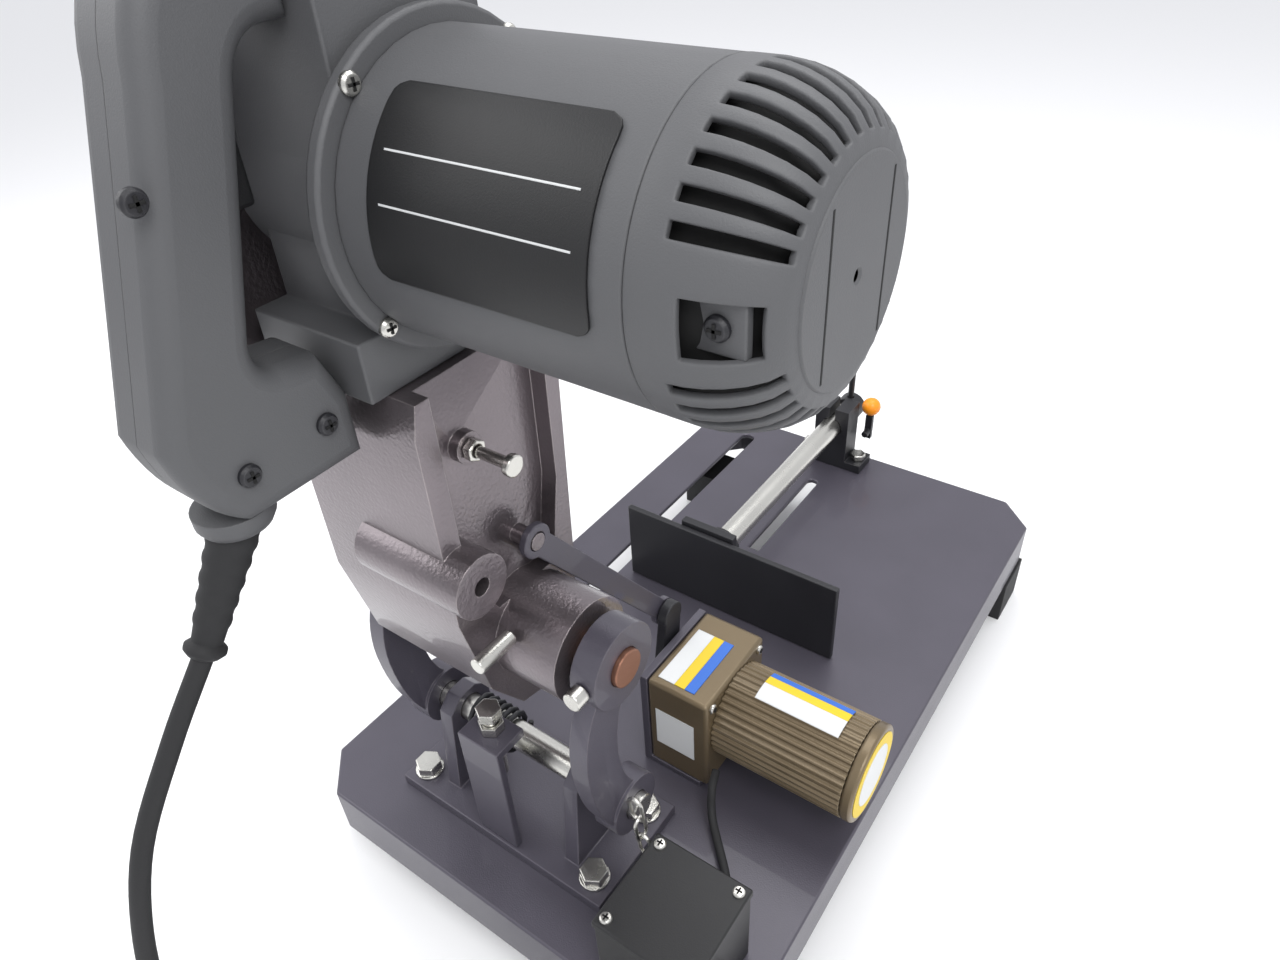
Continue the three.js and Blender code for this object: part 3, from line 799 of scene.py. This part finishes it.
def chain_link(name, centre, long_axis, flat_axis):
    """One oval link of round wire: two half circles and the straight wire between them."""
    long_axis, flat_axis = Vector(long_axis).normalized(), Vector(flat_axis).normalized()
    radius = (LINK_WIDTH - LINK_WIRE) / 2
    half = (LINK_LENGTH - LINK_WIDTH) / 2
    points = []
    for i in range(LINK_POINTS):
        a = 2 * math.pi * i / LINK_POINTS
        along = radius * math.cos(a) + math.copysign(half, math.cos(a))
        points.append(Vector(centre) + long_axis * along + flat_axis * (radius * math.sin(a)))
    normal = long_axis.cross(flat_axis).normalized()
    angles = [2 * math.pi * k / LINK_SIDES for k in range(LINK_SIDES)]
    bm = bmesh.new()
    rings = []
    for i, point in enumerate(points):
        ahead = (points[(i + 1) % LINK_POINTS] - points[i - 1]).normalized()
        out = ahead.cross(normal)
        offsets = [(out * math.cos(a) + normal * math.sin(a)) * LINK_WIRE / 2 for a in angles]
        rings.append([bm.verts.new(point + offset) for offset in offsets])
    for low, high in zip(rings, rings[1:] + rings[:1]):
        join_rings(bm, low, high)
    new_piece(name, bm, "zinc_steel", "base", smooth=60)


def chain():
    """Four links that hang down, every other one turned by a quarter."""
    start = spot(247, 62, 168)
    step = Vector((0.003, -0.001, -0.014))
    for index in range(4):
        flat_axis = (0, 1, 0) if index % 2 else (1, 0, 0)
        chain_link(f"chain_link_{index + 1}", start + step * index, (0.1, 0, -1), flat_axis)


def fasteners():
    flange_screws()
    handle_screws()
    lid_screws()
    jaw_studs()
    gearbox_screws()
    chain()


def motor_lead():
    """The thin cable from beside the gearbox down to the control box."""
    gear_low, gear_high = corners("gearbox")
    box_low, box_high = corners("control_box")
    start = Vector((gear_high.x + 0.006, gear_low.y + 0.002, gear_low.z + 0.02))
    points = [start,
              start + Vector((0.004, -0.012, -0.004)),
              start + Vector((0.012, -0.024, -0.016)),
              Vector((box_low.x + 0.03, box_high.y + 0.028, 0.087)),
              Vector((box_low.x + 0.035, box_high.y + 0.012, 0.090)),
              Vector((box_low.x + 0.035, box_high.y - 0.002, 0.098))]
    bm = bmesh.new()
    tube(bm, smooth_path(points), 0.0028, 12)
    new_piece("gear_motor_lead", bm, "rubber", "base", smooth=60)


# ---------------------------------------------------------------- the handle and the other CAD nodes
BUILT_ABOVE = {"mains_cord", "cord_coil", "mains_plug", "cord_boot", "motor_end_cap", "feed_motor",
               "feed_motor_cap", "handle_left", "handle_right"}
EDGE_WIDTH = {"base_table": 0.0018, "arm_casting": 0.0022, "gear_case": 0.003, "vise_jaw": 0.0008,
              "control_box": 0.0015, "control_box_lid": 0.0012, "gearbox": 0.0025, "trigger": 0.002,
              "motor_flange": 0.0015}
USUAL_EDGE_WIDTH = 0.0006
HANDLE_EDGE_WIDTH = 0.0085


def handle():
    """Both halves, each with a wide round along its outer face only."""
    for node in ("handle_left", "handle_right"):
        low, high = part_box(node)
        outside = low[0] if node == "handle_left" else high[0]
        refined(node, HANDLE_EDGE_WIDTH, 5, round_face=outside)


def other_nodes():
    for node in frame["nodes"]:
        if node not in BUILT_ABOVE:
            refined(node, EDGE_WIDTH.get(node, USUAL_EDGE_WIDTH))


make_camera()
make_stage()
mains_cord()
cord_boot()
handle_collar()
motor_end_cap()
feed_motor()
feed_motor_end_label()
stickers()
rating_plate()
fasteners()
motor_lead()
handle()
other_nodes()
